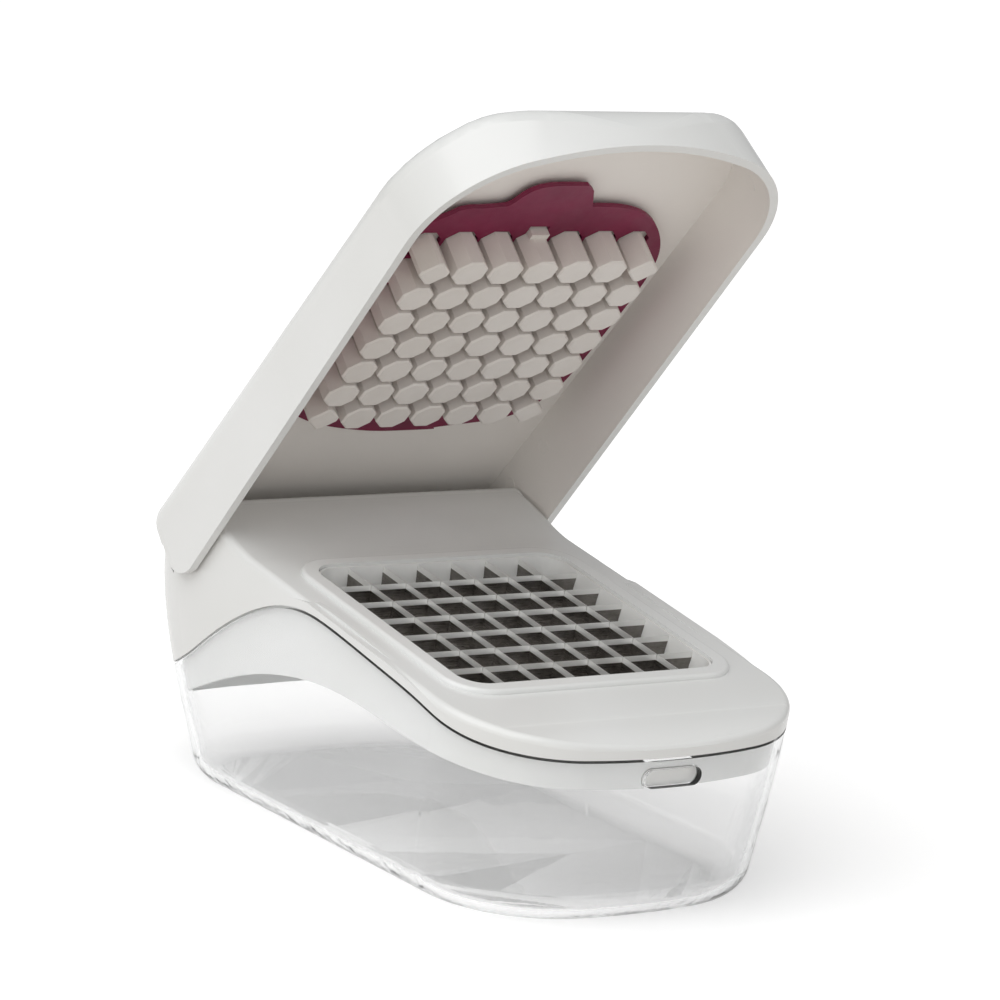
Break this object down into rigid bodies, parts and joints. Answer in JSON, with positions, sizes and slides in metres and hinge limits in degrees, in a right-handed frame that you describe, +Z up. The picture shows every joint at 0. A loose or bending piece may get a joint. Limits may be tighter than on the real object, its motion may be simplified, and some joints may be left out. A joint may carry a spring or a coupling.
{
  "type": "vegetable dicer",
  "caption": "Push-lid vegetable dicer: hinged lid with pusher posts over a steel blade grid, on a clear catch tub with a wavy rim.",
  "frame": {"origin": "middle of the flat underside of the tub, on the table", "axes": "+X to the right, +Y to the hinge end, +Z up; the lid's free end points to -Y"},
  "size_m": [0.1224, 0.2068, 0.2179],
  "materials": {
    "clear_tub": "clear polished plastic",
    "white_plastic": "glossy white ABS",
    "frame_plastic": "satin light grey ABS",
    "blade_steel": "ground stainless strip",
    "fastener_steel": "plain steel",
    "washer_plastic": "natural acetal",
    "post_plastic": "satin warm grey ABS",
    "plum_plastic": "satin plum polypropylene"
  },
  "bodies": {
    "container": {"container": "clear_tub"},
    "housing": {"housing": "white_plastic", "blade_frame": "frame_plastic", "blade_retainer": "frame_plastic", "retainer_screws": "fastener_steel", "long_blade_1": "blade_steel", "long_blade_2": "blade_steel", "long_blade_3": "blade_steel", "long_blade_4": "blade_steel", "long_blade_5": "blade_steel", "long_blade_6": "blade_steel", "cross_blade_1": "blade_steel", "cross_blade_2": "blade_steel", "cross_blade_3": "blade_steel", "cross_blade_4": "blade_steel", "cross_blade_5": "blade_steel", "cross_blade_6": "blade_steel"},
    "catch": {"catch_tongue": "white_plastic"},
    "lid": {"lid_shell": "white_plastic", "pusher_block": "post_plastic", "hinge_pin_left": "fastener_steel", "hinge_pin_right": "fastener_steel", "hinge_washer_left": "washer_plastic", "hinge_washer_right": "washer_plastic"},
    "insert": {"cleaning_insert": "plum_plastic"}
  },
  "joints": [
    {"name": "housing_lift", "type": "slide", "parent": "container", "child": "housing", "axis": [0, 0, 1], "range_m": [0, 0.08]},
    {"name": "catch_press", "type": "slide", "parent": "housing", "child": "catch", "axis": [0, 1, 0], "range_m": [0, 0.0015], "stiffness_N_per_m": 600},
    {"name": "lid_hinge", "type": "hinge", "parent": "housing", "child": "lid", "pos_m": [0, 0.07761, 0.07752], "axis": [-1, 0, 0], "range_deg": [-55.9, 2]},
    {"name": "insert_slide", "type": "slide", "parent": "lid", "child": "insert", "axis": [0, -0.7157, -0.6984], "range_m": [0, 0.005]}
  ]
}
